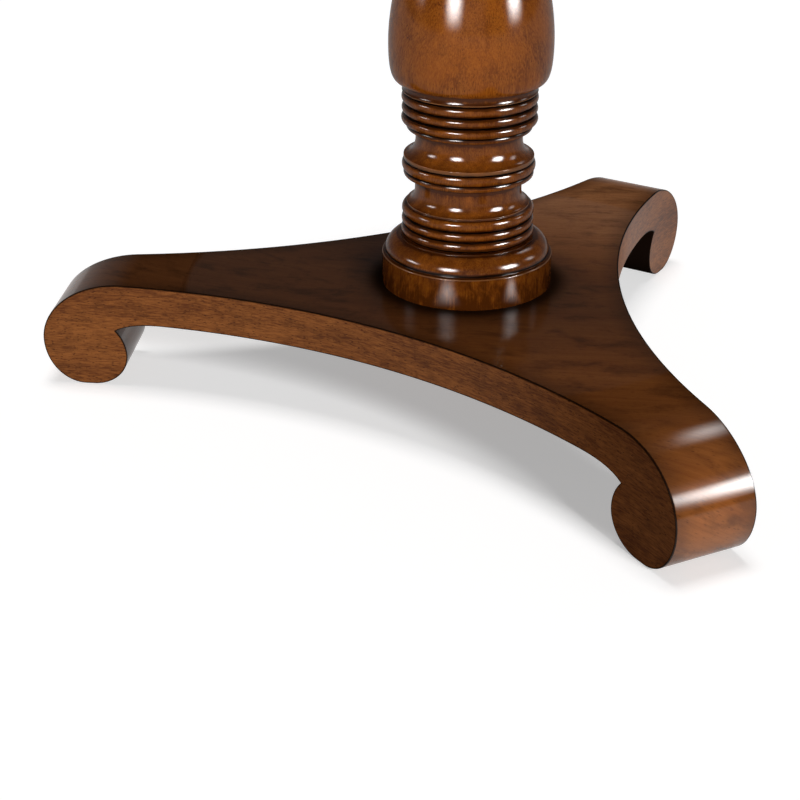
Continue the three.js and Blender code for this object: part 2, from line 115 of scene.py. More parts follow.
class Amount:
    """A number that varies over a surface or along a mesh. Sums on it become Math nodes."""

    def __init__(self, recipe, socket):
        self.recipe = recipe
        self.socket = socket

    def math(self, operation, *others):
        return self.recipe.math(operation, self, *others)

    def __add__(self, other):
        return self.math("ADD", other)

    def __sub__(self, other):
        return self.math("SUBTRACT", other)

    def __rsub__(self, other):
        return self.recipe.math("SUBTRACT", other, self)

    def __mul__(self, other):
        return self.math("MULTIPLY", other)

    def __truediv__(self, other):
        return self.math("DIVIDE", other)

    __radd__ = __add__
    __rmul__ = __mul__

    def rising(self, low, high):
        """Goes smoothly from 0 at low to 1 at high."""
        settings = {"interpolation_type": "SMOOTHSTEP"}
        inputs = {"Value": self, "From Min": low, "From Max": high}
        return self.recipe.amount("ShaderNodeMapRange", settings, inputs)

    def falling(self, low, high):
        """Goes smoothly from 1 at low to 0 at high."""
        return 1 - self.rising(low, high)


class Recipe:
    """A tree of nodes under construction, for a finish, a light or a mesh."""

    def __init__(self, tree):
        self.tree = tree

    def node(self, kind, settings=None, inputs=None):
        """Adds a node: its settings first, then a value or a link for each named input."""
        made = self.tree.nodes.new(kind)
        for name, value in (settings or {}).items():
            setattr(made, name, value)
        for name, value in (inputs or {}).items():
            source = getattr(value, "socket", value)
            if isinstance(source, bpy.types.NodeSocket):
                self.tree.links.new(source, made.inputs[name])
            else:
                made.inputs[name].default_value = source
        return made

    def socket(self, kind, settings=None, inputs=None, output=0):
        return self.node(kind, settings, inputs).outputs[output]

    def amount(self, kind, settings=None, inputs=None, output=0):
        return Amount(self, self.socket(kind, settings, inputs, output))

    def math(self, operation, *values):
        return self.amount("ShaderNodeMath", {"operation": operation}, dict(enumerate(values)))

    def measure(self, operation, *places):
        """A number from one place or two, such as a length or a distance."""
        inputs = dict(enumerate(places))
        return self.amount("ShaderNodeVectorMath", {"operation": operation}, inputs, "Value")

    def mix(self, factor, first, second):
        """Blends two colours."""
        colours = [value if hasattr(value, "links") else (*value, 1) for value in (first, second)]
        inputs = {0: factor, 6: colours[0], 7: colours[1]}
        return self.socket("ShaderNodeMix", {"data_type": "RGBA"}, inputs, 2)

    def layered(self, colour, *layers):
        """Lays colours over a colour one after another, each by its share."""
        for share, laid in layers:
            colour = self.mix(share, colour, laid)
        return colour

    def axes(self, place):
        """The parts of a place along X, Y and Z."""
        parts = self.node("ShaderNodeSeparateXYZ", {}, {0: place}).outputs
        return [Amount(self, part) for part in parts]

    def joined(self, **parts):
        """A place from its parts along X, Y and Z."""
        return self.socket("ShaderNodeCombineXYZ", {}, parts)

    def mapped(self, place, **changes):
        """A place after its Scale, Rotation and Location."""
        return self.socket("ShaderNodeMapping", {}, {"Vector": place, **changes})

    def noise(self, place, detail, roughness, distortion=0.0, scale=1.0):
        inputs = {"Vector": place, "Scale": scale, "Detail": detail, "Roughness": roughness,
                  "Distortion": distortion}
        return self.amount("ShaderNodeTexNoise", {}, inputs)

    def object_place(self):
        return self.socket("ShaderNodeTexCoord", {}, {}, "Object")

    def stored(self, name):
        """A number that the mesh carries."""
        return self.amount("ShaderNodeAttribute", {"attribute_name": name}, {}, "Fac")

    def stored_place(self, name):
        """A place that the mesh carries."""
        return self.socket("ShaderNodeAttribute", {"attribute_name": name}, {}, "Vector")

    def surface(self, shader, kind="Material"):
        """Ends the tree of a finish, of the world or of a light."""
        self.node("ShaderNodeOutput" + kind, {}, {"Surface": shader})


# Turned outlines

class Turning:
    """A turned outline, drawn upwards one moulding after another as radius and height."""

    def __init__(self, radius, height):
        self.points = [(radius, height)]

    def to(self, radius, height):
        self.points.append((radius, height))
        return self

    def rise(self, height):
        return self.to(self.points[-1][0], self.points[-1][1] + height)

    def slope(self, radius, height):
        return self.to(radius, self.points[-1][1] + height)

    def step(self, radius):
        return self.to(radius, self.points[-1][1])

    def arc(self, radius, height, first, last, steps):
        """A quarter or a half of an ellipse between two angles, fitted to a run and a rise."""
        start_radius, start_height = self.points[-1]
        for angle in np.linspace(first, last, steps + 1)[1:]:
            across = (math.cos(angle) - math.cos(first)) / (math.cos(last) - math.cos(first))
            along = (math.sin(angle) - math.sin(first)) / (math.sin(last) - math.sin(first))
            self.to(start_radius + (radius - start_radius) * across, start_height + height * along)
        return self

    def upright_quarter(self, radius, height, steps=14):
        """Leaves upright and arrives level."""
        return self.arc(radius, height, 0, math.pi / 2, steps)

    def level_quarter(self, radius, height, steps=14):
        """Leaves level and arrives upright."""
        return self.arc(radius, height, -math.pi / 2, 0, steps)

    def bead(self, height, proud, steps=20):
        """A half-round that stands proud of the groove it starts from."""
        start_radius, start_height = self.points[-1]
        for angle in np.linspace(0, math.pi, steps + 1)[1:]:
            self.to(start_radius + proud * math.sin(angle),
                    start_height + height / 2 * (1 - math.cos(angle)))
        return self

    def sweep(self, first, second, finish, steps):
        """A free curve with a handle at each end."""
        start = np.array(self.points[-1])
        for t in np.linspace(0, 1, steps + 1)[1:]:
            self.to(*((1 - t) ** 3 * start + 3 * t * (1 - t) ** 2 * np.array(first)
                      + 3 * t ** 2 * (1 - t) * np.array(second) + t ** 3 * np.array(finish)))
        return self


def softened(points, radius, steps=5, least=math.radians(24), sharpest=2.6, most=0.45):
    """Rounds each corner of an outline that turns by more than the least angle. The rounding
    takes at most a given share of the run on each side."""
    points = [np.array(point, float) for point in points]
    kept = [points[0]]
    for before, corner, after in zip(points, points[1:], points[2:]):
        into, away = corner - before, after - corner
        run_in, run_out = np.linalg.norm(into), np.linalg.norm(away)
        turn = math.acos(max(-1, min(1, into @ away / run_in / run_out)))
        if turn < least:
            kept.append(corner)
            continue
        reach = min(radius * math.tan(min(turn, sharpest) / 2), most * run_in, most * run_out)
        start = corner - into / run_in * reach
        finish = corner + away / run_out * reach
        for t in np.linspace(0, 1, steps + 1):
            kept.append((1 - t) ** 2 * start + 2 * t * (1 - t) * corner + t ** 2 * finish)
    return kept + [points[-1]]


def evened(points, longest, guard=0.25):
    """Divides long straight runs, with a point close to each end that keeps the run flat."""
    kept = [points[0]]
    for start, finish in zip(points, points[1:]):
        length = np.linalg.norm(np.array(finish) - start)
        if length > 2 * longest:
            inner = np.linspace(0, 1, int(length / longest) + 1)[1:-1]
            for share in [guard / length, *inner, 1 - guard / length]:
                kept.append(start + (np.array(finish) - start) * share)
        kept.append(finish)
    return kept


def lengths_along(points):
    """The length of an outline from its start to each of its points."""
    return np.concatenate([[0], np.cumsum(np.linalg.norm(np.diff(points, axis=0), axis=1))])


def outward(points):
    """The outward direction at each point of an outline that is drawn upwards."""
    run = np.gradient(np.array(points), axis=0)
    run /= np.linalg.norm(run, axis=1, keepdims=True) + tiny
    return np.stack([run[:, 1], -run[:, 0]], 1)


def shelter_of(points, walls, reach=13.0, widest=78, rays=40, lift=0.08, brush=0.9, blur=0.7):
    """How far each outline point lies in a groove, from 0 in the open to 1: how much of a fan of
    rays, from just off the surface, meets a wall within reach. A point takes the deepest value
    within a brush's width, and the values are blurred along the outline."""
    starts, runs = walls[:-1], np.diff(walls, axis=0)
    turns = np.radians(np.linspace(-widest, widest, rays))
    weights = np.cos(turns) / np.cos(turns).sum()
    values = []
    for point, normal in zip(np.array(points), outward(points)):
        fan = np.stack([normal[0] * np.cos(turns) - normal[1] * np.sin(turns),
                        normal[0] * np.sin(turns) + normal[1] * np.cos(turns)], 1)
        gap = starts - (point + lift * normal)
        base = fan[:, None, 0] * runs[:, 1] - fan[:, None, 1] * runs[:, 0]
        base = np.where(abs(base) < tiny, tiny, base)
        far = (gap[:, 0] * runs[:, 1] - gap[:, 1] * runs[:, 0]) / base
        along = (gap[:, 0] * fan[:, None, 1] - gap[:, 1] * fan[:, None, 0]) / base
        hits = (far > 0) & (far < reach) & (along >= 0) & (along <= 1)
        near = np.where(hits, far, reach).min(1)
        values.append(float(((1 - near / reach) * weights).sum()))
    length = lengths_along(points)
    apart = abs(length[:, None] - length)
    deepest = np.where(apart < brush, np.array(values), 0).max(1)
    close = np.exp(-(apart / blur) ** 2)
    return list((close * deepest).sum(1) / close.sum(1))


def ridge_of(points, span=0.9, sharpest=0.22):
    """How sharply the outline turns outwards at each point, from 0 on a flat to 1."""
    points = np.array(points)
    length = lengths_along(points)
    values = []
    for place, point, normal in zip(length, points, outward(points)):
        ends = [[np.interp(place + shift, length, points[:, axis]) for axis in (0, 1)]
                for shift in (-span, span)]
        proud = (point - np.mean(ends, axis=0)) @ normal
        values.append(float(np.clip(proud / sharpest, 0, 1)))
    return values


# Meshes and pieces

def placed(name, data):
    """An object in the scene."""
    made = bpy.data.objects.new(name, data)
    scene.collection.objects.link(made)
    return made


def piece(name, mesh, finish, slot, *nodes):
    """Puts a finished mesh in the scene as a piece of the table that stands for its CAD nodes."""
    made = placed(name, mesh)
    mesh.materials.clear()
    mesh.materials.append(finish)
    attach(made, "root")
    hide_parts(*nodes)


def written(work, mesh):
    """Writes mesh code's work to a mesh."""
    work.to_mesh(mesh)
    work.free()
    return mesh


def faced(work, crease):
    """Points every face outwards, and keeps edges sharp that turn by more than a crease."""
    bmesh.ops.recalc_face_normals(work, faces=work.faces)
    for face in work.faces:
        face.smooth = True
    for edge in work.edges:
        edge.smooth = len(edge.link_faces) == 2 and edge.calc_face_angle(0) < crease


def tidied(mesh):
    """Closes the seams of a mesh and faces it."""
    work = bmesh.new()
    work.from_mesh(mesh)
    bmesh.ops.remove_doubles(work, verts=work.verts, dist=seam)
    faced(work, turned_crease)
    return written(work, mesh)


def marked(work, layers, place, marks):
    """A new vertex that carries a mark in each layer."""
    vert = work.verts.new(place)
    for layer, mark in zip(layers, marks):
        vert[layer] = mark
    return vert


def mark_layers(work, *names):
    return [work.verts.layers.float.new(name) for name in names]


def bridged(work, first, second):
    """A strip of faces between two rows of vertices."""
    for corners in zip(first, first[1:], second[1:], second):
        work.faces.new(corners)


def grown(mesh, tree, sizes, name):
    """Runs a geometry tree on a mesh and gives the result as a plain mesh."""
    carrier = placed(name, mesh)
    maker = carrier.modifiers.new(tree.name, "NODES")
    maker.node_group = tree
    for item in tree.interface.items_tree:
        if item.in_out == "INPUT" and item.name in sizes:
            maker[item.identifier] = sizes[item.name]
    bpy.context.view_layer.update()
    result = bpy.data.meshes.new_from_object(
        carrier.evaluated_get(bpy.context.evaluated_depsgraph_get()))
    carrier.modifiers.remove(maker)
    bpy.data.objects.remove(carrier)
    result.name = name
    return result


def new_tree(name, **sizes):
    """An empty geometry tree with a mesh input and the named sizes."""
    tree = bpy.data.node_groups.new(name, "GeometryNodeTree")
    tree.interface.new_socket("Geometry", in_out="INPUT", socket_type="NodeSocketGeometry")
    for label, (kind, value) in sizes.items():
        made = tree.interface.new_socket(label, in_out="INPUT", socket_type="NodeSocket" + kind)
        if value is not None:
            made.default_value = value
    tree.interface.new_socket("Geometry", in_out="OUTPUT", socket_type="NodeSocketGeometry")
    recipe = Recipe(tree)
    return tree, recipe, recipe.node("NodeGroupInput").outputs


def end_tree(recipe, made, finish):
    """Makes a tree's result real and gives it its finish."""
    made = recipe.socket("GeometryNodeRealizeInstances", {}, {"Geometry": made})
    made = recipe.socket("GeometryNodeSetMaterial", {}, {"Geometry": made, "Material": finish})
    recipe.node("NodeGroupOutput", {}, {"Geometry": made})


def turned_tree():
    """Spins an outline about the column's axis, and carries along what is stored on it."""
    tree, recipe, given = new_tree("turned_section", Sides=("Int", 96), Finish=("Material", None))
    outline, sides = given["Geometry"], Amount(recipe, given["Sides"])
    count = recipe.socket("GeometryNodeAttributeDomainSize", {}, {"Geometry": outline},
                          "Point Count")
    around = sides + 1
    grid = recipe.socket("GeometryNodeMeshGrid", {}, {"Vertices X": count, "Vertices Y": around})
    index = recipe.amount("GeometryNodeInputIndex")
    level = (index / around).math("FLOOR")
    angle = (index - level * around) * (2 * math.pi) / sides

    def sampled(kind, value):
        settings = {"data_type": kind, "domain": "POINT"}
        inputs = {"Geometry": outline, "Value": value, "Index": level}
        return recipe.socket("GeometryNodeSampleIndex", settings, inputs)

    place = recipe.socket("GeometryNodeInputPosition")
    radius, _, height = recipe.axes(sampled("FLOAT_VECTOR", place))
    spot = recipe.joined(X=radius * angle.math("COSINE"), Y=radius * angle.math("SINE"), Z=height)
    made = recipe.socket("GeometryNodeSetPosition", {}, {"Geometry": grid, "Position": spot})
    for name in ("shelter", "ridge", "wash_and_shade"):
        number = {"data_type": "FLOAT"}
        value = recipe.socket("GeometryNodeInputNamedAttribute", number, {"Name": name})
        made = recipe.socket(
            "GeometryNodeStoreNamedAttribute", {**number, "domain": "POINT"},
            {"Geometry": made, "Name": name, "Value": sampled("FLOAT", value)})
    end_tree(recipe, made, given["Finish"])
    return tree


def ring_tree():
    """Repeats a mesh round the column's axis."""
    tree, recipe, given = new_tree("round_the_axis", Count=("Int", 8), Finish=("Material", None))
    count = Amount(recipe, given["Count"])
    places = recipe.socket("GeometryNodePoints", {}, {"Count": count})
    turn = recipe.amount("GeometryNodeInputIndex") * (2 * math.pi) / count
    made = recipe.socket("GeometryNodeInstanceOnPoints", {}, {
        "Points": places, "Instance": given["Geometry"], "Rotation": recipe.joined(Z=turn)})
    end_tree(recipe, made, given["Finish"])
    return tree


def turned(name, outline, finish, slot, node, tree, walls=None, sides=column_sides, wash_and_shade=(0, 0)):
    """A turned piece from its outline, closed on the axis at both ends, with glaze in its grooves
    and a wash of brown, partly painted shade, that goes from one amount at its foot to another at
    its head."""
    points = evened(softened(outline, tool_mark), turned_run)
    heights = [point[1] for point in points]
    stored = {
        "shelter": shelter_of(points, walls if walls is not None else np.array(points)),
        "ridge": ridge_of(points),
        "wash_and_shade": list(np.interp(heights, (heights[0], heights[-1]), wash_and_shade)),
    }
    closed = [(0, heights[0]), *points, (0, heights[-1])]
    mesh = bpy.data.meshes.new(name + "_outline")
    mesh.from_pydata([(radius * mm, 0, height * mm) for radius, height in closed],
                     [(i, i + 1) for i in range(len(closed) - 1)], [])
    for label, values in stored.items():
        layer = mesh.attributes.new(label, "FLOAT", "POINT")
        layer.data.foreach_set("value", [values[0], *values, values[-1]])
    made = grown(mesh, tree, {"Sides": sides, "Finish": finish}, name)
    piece(name, tidied(made), finish, slot, node)


# Platform and feet

def side_heading(side):
    """The direction from the axis to the middle of a hollow side, by the side's number."""
    return math.pi / 3 + (side + 0.5) * 2 * math.pi / 3


def half_width(reach, inset=0.0):
    """Half the width of an arm at a reach, on the circle that hollows its side."""
    along = reach - hollow_reach * math.cos(math.pi / 3)
    across = math.sqrt((side_radius + inset) ** 2 - along ** 2)
    return hollow_reach * math.sin(math.pi / 3) - across


def scroll_outline():
    """A foot's side outline as reach and height, from its top at the joint to its underside."""
    def arc(centre, runs, first, last, steps):
        return [(centre[0] + runs[0] * math.cos(a), centre[1] + runs[1] * math.sin(a))
                for a in np.radians(np.linspace(first, last, steps + 1))]

    front_height = platform_top - sweep_drop
    land_front = land_reach + land_width / 2
    land_back = land_reach - land_width / 2
    turn = math.asin((notch_height - roll_back_height) / curl_rise)
    notch_reach = roll_back_reach + curl_run * (1 - math.cos(turn))
    sweep_start = foot_reach - sweep_length
    flat = [(reach, platform_top) for reach in np.linspace(joint_reach, sweep_start, 12)]
    points = flat[:-1]
    points += arc((sweep_start, front_height), (sweep_length, sweep_drop), 90, 0, 40)
    points += arc((land_front, front_height), (foot_reach - land_front, front_height),
                  0, -90, 24)[1:]
    points += arc((land_back, roll_back_height),
                  (land_back - roll_back_reach, roll_back_height), -90, -180, 22)
    points += arc((roll_back_reach + curl_run, roll_back_height), (curl_run, curl_rise),
                  180, 180 - math.degrees(turn), 12)[1:]
    cove = Turning(notch_reach, notch_height)
    cove.sweep((notch_reach - cove_handle[0], notch_height + cove_handle[1]),
               (notch_reach - cove_length / 2, platform_underside),
               (notch_reach - cove_length, platform_underside), 18)
    points += [tuple(point) for point in cove.points[1:]]
    points += [(reach, platform_underside)
               for reach in np.linspace(notch_reach - cove_length, joint_reach, 4)[1:]]
    return np.array(points)


def mitred(points):
    """The inward offset at each point, longer at corners so that what it draws is parallel."""
    runs = np.diff(points, axis=0)
    runs /= np.linalg.norm(runs, axis=1, keepdims=True)
    inward = np.stack([runs[:, 1], -runs[:, 0]], 1)
    before = np.concatenate([[[0.0, -1.0]], inward])
    after = np.concatenate([inward, [[0.0, 1.0]]])
    return (before + after) / (1 + (before * after).sum(1, keepdims=True))


def arris_levels():
    """Steps round an arris from the top to the side face, as (inset from the side face, drop from
    the top, share of veneer, share of arris)."""
    levels = [(arris_radius + arris_band, 0.0, 1.0, 0.0)]
    for angle in np.linspace(0, math.pi / 2, arris_steps):
        levels.append((arris_radius * (1 - math.sin(angle)), arris_radius * (1 - math.cos(angle)),
                       math.cos(angle), 1.0))
    levels.append((0.0, arris_radius + arris_band, 0.0, 0.0))
    return levels


def run_along(x, y):
    """The distance along a hollow side from its waist, and the number of that side."""
    side = math.floor(((math.atan2(y, x) - math.pi / 3) % (2 * math.pi)) / (2 * math.pi / 3))
    middle = side_heading(side)
    away = np.array([x, y]) - hollow_reach * np.array([math.cos(middle), math.sin(middle)])
    turn = math.atan2(away[1], away[0]) - (middle + math.pi)
    turn = (turn + math.pi) % (2 * math.pi) - math.pi
    return turn * side_radius, side


def finish_base(work, name, sheet_run):
    """Stores where each vertex lies on the veneer sheet and along the side, then makes the mesh."""
    sheet = work.verts.layers.float_vector.new("sheet")
    run = work.verts.layers.float_vector.new("run")
    for vert in work.verts:
        x, y, z = vert.co
        vert[sheet] = sheet_run(vert)
        along, side = run_along(x, y)
        vert[run] = Vector((along, z, side_spacing * side)) * mm
    for vert in work.verts:
        vert.co *= mm
    faced(work, base_crease)
    return written(work, bpy.data.meshes.new(name))


def fill_rest(work):
    """Closes what is still open with flat faces and divides them into triangles."""
    open_edges = [edge for edge in work.edges if len(edge.link_faces) == 1]
    filled = bmesh.ops.holes_fill(work, edges=open_edges, sides=0)["faces"]
    work.normal_update()
    bmesh.ops.triangulate(work, faces=filled, ngon_method="BEAUTY")


def scroll_foot_mesh(name, angle):
    """A scrolled foot: the side outline set on edge between the two hollow sides. It is made as a
    block of one half width, cut across at even spacing, and then drawn in to the hollow sides."""
    block = 100.0
    inner_rows = (0.6, 0.2)
    spacing = 7
    hidden_band = 12
    outline = scroll_outline()
    inward = mitred(outline)
    steps = lengths_along(outline)
    inner = arris_levels()[0][0]
    across = [(drop, block - inset, veneered, arris)
              for inset, drop, veneered, arris in reversed(arris_levels())]
    across += [(0.0, (block - inner) * share, 1.0, 0.0) for share in inner_rows]
    across += [(inset, -place, veneered, arris)
               for inset, place, veneered, arris in reversed(across)]
    work = bmesh.new()
    layers = mark_layers(work, "veneered", "arris", "step", "hidden")
    land_step = steps[np.argmin(abs(outline[:, 1]) + abs(outline[:, 0] - land_reach))]
    loops = []
    for inset, place, veneered, arris in across:
        loop = []
        for point, direction, step in zip(outline, inward, steps):
            reach, height = point + direction * inset
            hidden = min(1, max(0, (step - land_step + hidden_band / 2) / hidden_band))
            loop.append(marked(work, layers, (reach, place, height),
                               (veneered, arris, step, hidden)))
        loops.append(loop)
    for first, second in zip(loops, loops[1:]):
        bridged(work, first, second)
    cheeks = [work.faces.new(loops[0]), work.faces.new(loops[-1])]
    work.normal_update()
    bmesh.ops.triangulate(work, faces=cheeks, ngon_method="BEAUTY")
    fill_rest(work)
    for reach in np.arange(joint_reach + spacing, foot_reach, spacing):
        everything = [*work.verts, *work.edges, *work.faces]
        bmesh.ops.bisect_plane(work, geom=everything, dist=nearly, plane_co=(reach, 0, 0),
                               plane_no=(1, 0, 0))
    for vert in work.verts:
        half = half_width(vert.co.x)
        place = abs(vert.co.y)
        if place >= block - inner - nearly:
            wide = half - (block - place)
        else:
            wide = (half - inner) * place / (block - inner)
        vert.co.y = math.copysign(wide, vert.co.y)
    arm = Vector((math.cos(angle), math.sin(angle), 0))
    aside = Vector((-arm.y, arm.x, 0))

    def sheet_run(vert):
        return (arm * (joint_reach + vert[layers[2]]) + aside * vert.co.dot(aside)) * mm

    turn = Matrix.Rotation(angle, 3, "Z")
    bmesh.ops.rotate(work, verts=work.verts, cent=(0, 0, 0), matrix=turn)
    return finish_base(work, name, sheet_run)


def platform_mesh(name):
    """The platform between the three joints, with its hollow sides and the recess beneath."""
    work = bmesh.new()
    layers = mark_layers(work, "veneered", "arris", "hidden")
    over = [(inset, platform_top - drop, veneered, arris)
            for inset, drop, veneered, arris in arris_levels()]
    under = [(inset, platform_underside + drop, veneered, arris)
             for inset, drop, veneered, arris in arris_levels()]
    bisector = Vector((math.cos(math.pi / 3), math.sin(math.pi / 3)))
    loops = []
    for inset, height, veneered, arris in under + over[::-1]:
        radius = side_radius + inset
        hidden = float(height < (platform_top + platform_underside) / 2)
        corner = Vector((joint_reach, half_width(joint_reach, inset)))
        swing = math.acos((hollow_reach - corner.dot(bisector)) / radius)
        loop = []
        for side in range(3):
            middle = side_heading(side)
            arc = []
            for turn in np.linspace(swing, -swing, side_steps + 1):
                heading = middle + math.pi + turn
                place = (hollow_reach * math.cos(middle) + radius * math.cos(heading),
                         hollow_reach * math.sin(middle) + radius * math.sin(heading), height)
                arc.append(marked(work, layers, place, (veneered, arris, hidden)))
            loop.append(arc)
        loops.append(loop)
    for first, second in zip(loops, loops[1:]):
        for low, high in zip(first, second):
            bridged(work, low, high)
    for loop in (loops[0], loops[-1]):
        ring = [vert for arc in loop for vert in arc]
        edges = [work.edges.get((a, b)) or work.edges.new((a, b))
                 for a, b in zip(ring, ring[1:] + ring[:1])]
        if loop is loops[0]:
            rim = [work.verts.new((recess_radius * math.cos(a), recess_radius * math.sin(a),
                                   platform_underside))
                   for a in np.linspace(0, 2 * math.pi, recess_sides + 1)[:-1]]
            edges += [work.edges.new((a, b)) for a, b in zip(rim, rim[1:] + rim[:1])]
        bmesh.ops.triangle_fill(work, use_beauty=True, edges=edges)
    roof = [work.verts.new(vert.co + Vector((0, 0, recess_depth))) for vert in rim]
    bridged(work, rim + rim[:1], roof + roof[:1])
    work.faces.new(roof)
    fill_rest(work)
    return finish_base(work, name, lambda vert: Vector((vert.co.x, vert.co.y, 0)) * mm)


# Curved lengths of the top's edge and apron

def curved_length(name, outline, shelter, ridge):
    """One length of a ring, swept from a closed outline and capped at both ends."""
    half_turn = math.pi / ring_lengths
    work = bmesh.new()
    layers = mark_layers(work, "shelter", "ridge")
    rows = []
    for share in np.linspace(-1, 1, ring_steps + 1):
        row = []
        for (radius, height), *marks in zip(outline, shelter, ridge):
            angle = share * (half_turn - joint_gap / 2 / radius)
            place = (radius * math.cos(angle) * mm, radius * math.sin(angle) * mm, height * mm)
            row.append(marked(work, layers, place, marks))
        rows.append(row)
    for first, second in zip(rows, rows[1:]):
        bridged(work, first + first[:1], second + second[:1])
    work.faces.new(rows[0])
    work.faces.new(rows[-1])
    return written(work, bpy.data.meshes.new(name))


def ring_of_lengths(name, outline, finish, slot, node_stem, tree):
    """Eight equal lengths of moulding that meet end to end round the top."""
    points = evened(softened(outline, tool_mark), moulded_run)
    made = curved_length(name, points[:-1], shelter_of(points, np.array(points))[:-1],
                         ridge_of(points)[:-1])
    made = grown(made, tree, {"Count": ring_lengths, "Finish": finish}, name)
    nodes = [f"{node_stem}_{i + 1}" for i in range(ring_lengths)]
    piece(name, tidied(made), finish, slot, *nodes)


# Finishes, with their colours as red, green and blue, and in pairs of a dark and a light one

# The dark glaze in the grooves; on the base the same colour darkens the arrises and is painted
# shade round the foot of the drum
glaze_and_shade = (0.0085, 0.0036, 0.0014)
umber = (0.060, 0.014, 0.0015)
rubbed_gold = (0.50, 0.128, 0.008)
amber = (0.25, 0.075, 0.009)
# Paler ridges: partly wear, partly a painted highlight
ridge_wear_and_highlight = (0.40, 0.16, 0.05)
turned_pore = (0.050, 0.014, 0.003)
# The veneer's pairs carry painted light and shade as well as its own figure: the panel's pair is
# the darkest, as painted shade, and the pairs for the rolls and the back are paler, as painted
# light
panel_pair = ((0.084, 0.027, 0.009), (0.160, 0.057, 0.017))
roll_pair = ((0.165, 0.045, 0.009), (0.35, 0.115, 0.024))
rear_pair = ((0.28, 0.100, 0.036), (0.62, 0.265, 0.105))
side_pair = ((0.145, 0.040, 0.011), (0.42, 0.143, 0.036))
sheet_pore = (0.022, 0.008, 0.004)
side_pore = (0.060, 0.016, 0.005)
edge_darkening = (0.020, 0.008, 0.004)
# Painted shade in part: the darker, redder colour that the sides take towards the front
front_shade = (0.055, 0.012, 0.003)
rear_shade = (0.05, 0.03, 0.02)
# Painted shade, near black, for the faces hidden under the platform and feet and inside each curl
underneath = (0.010, 0.005, 0.003)


def new_finish(name):
    finish = bpy.data.materials.new(name)
    finish.use_nodes = True
    finish.node_tree.nodes.clear()
    return finish, Recipe(finish.node_tree)


def stretched(recipe, place, length, width):
    """Grain coordinates in units of a length along the grain and a width across it."""
    scale = (1 / (length * mm), 1 / (width * mm), 1 / (width * mm))
    return recipe.mapped(place, Scale=scale)


def patches(recipe, place, length, width, detail, roughness, distortion=0.0):
    return recipe.noise(stretched(recipe, place, length, width), detail, roughness, distortion)


def dashes(recipe, place, length, width, share, size=0.3, spread=0.05):
    """Scattered short dashes along the grain, such as open pores."""
    inputs = {"Vector": stretched(recipe, place, length, width), "Scale": 1.0}
    cells = recipe.node("ShaderNodeTexVoronoi", {}, inputs).outputs
    chance = recipe.amount("ShaderNodeSeparateColor", {}, {0: cells["Color"]}, "Red")
    here = Amount(recipe, cells["Distance"]).falling(size * 0.35, size)
    return here * chance.falling(share - spread, share + spread)


def mahogany(recipe, place, colours, pore, mottle, pores, figure, fleck=1.0, contrast=1.0,
             fine=0.25, fibre_size=(16, 0.8)):
    """Mahogany on grain coordinates in metres, with the grain along X, from its dark and its
    light colour: its colour, its relief and its cloud. Each patch and dash is given by its
    length along the grain and its width across it in millimetres."""
    broad = patches(recipe, place, 160 * figure, 26 * figure, 3, 0.5, 0.5)
    streak = patches(recipe, place, 75, 4.2, 3, 0.6, 0.3)
    fibre = patches(recipe, place, *fibre_size, 2, 0.6)
    cloud = patches(recipe, place, 22 * figure, 11 * figure, 4, 0.62, 0.4)
    tone = (broad * 0.56 + streak * 0.44) * (1 - fine) + fibre * fine
    spread = 0.16 / contrast
    colour = recipe.mix(tone.rising(0.5 - spread, 0.5 + spread), *colours)
    open_pores = (dashes(recipe, place, 8.5 * fleck, 2.0 * fleck, 0.62) * 0.8
                  + dashes(recipe, place, 4.5 * fleck, 1.0 * fleck, 0.6) * 0.6)
    shade = open_pores * (cloud.rising(0.30, 0.55) * 0.6 + 0.4) * pores
    colour = recipe.layered(colour, (cloud.rising(0.46, 0.72) * mottle, pore), (shade, pore))
    relief = fibre * 0.2 - open_pores * 0.5
    return colour, relief, cloud


def lacquered(recipe, colour, relief, cloud, gloss=0.11, coat=0.30):
    """Stained wood under a clear lacquer."""
    bump = recipe.socket("ShaderNodeBump", {}, {
        "Strength": grain_strength, "Distance": grain_height, "Height": relief})
    return recipe.socket("ShaderNodeBsdfPrincipled", {}, {
        "Base Color": colour, "Roughness": cloud * 0.16 + 0.42, "Normal": bump,
        "Coat Weight": coat, "Coat Roughness": gloss, "Coat IOR": lacquer_index,
        "Specular IOR Level": 0.0})


def upright_grain(recipe):
    """Grain up the column, on a board whose heart lies off the column's axis."""
    return recipe.mapped(recipe.object_place(), Location=(0.31, 0.047, 0.021),
                         Rotation=(0.02, math.pi / 2 - 0.03, 0.4))


def sheet_grain(recipe):
    """Grain of the platform's veneer, which swings towards the viewer's left arm."""
    x, y, _ = recipe.axes(recipe.stored_place("sheet"))
    swing = (x * -1.0 - 0.08).math("MAXIMUM", 0.0)
    return recipe.joined(X=x - y * 0.05, Y=y + x * 0.05 - swing * swing * 0.9)


def side_grain(recipe):
    """Grain along the hollow sides, a little askew."""
    return recipe.mapped(recipe.stored_place("run"), Rotation=(math.pi / 2, 0, 0.07))


def top_grain(recipe):
    """Grain across the round top in one direction."""
    return recipe.mapped(recipe.object_place(), Rotation=(0, 0, 0.38))


def curved_grain(recipe):
    """Grain along each curved length round the top, each from its own place on the board."""
    board_step = 1.7
    x, y, height = recipe.axes(recipe.object_place())
    radius = (x * x + y * y).math("SQRT")
    turn = y.math("ARCTAN2", x) / (2 * math.pi / ring_lengths) + (ring_lengths + 0.5)
    number = turn.math("FLOOR")
    length = top_radius * mm * 2 * math.pi / ring_lengths
    return recipe.joined(X=(turn - number) * length + number * board_step, Y=radius, Z=height)


def brushed(recipe, scale):
    """Brush marks, by how many there are in a metre along X, Y and Z."""
    return recipe.noise(recipe.mapped(recipe.object_place(), Scale=scale), 3.0, 0.6)


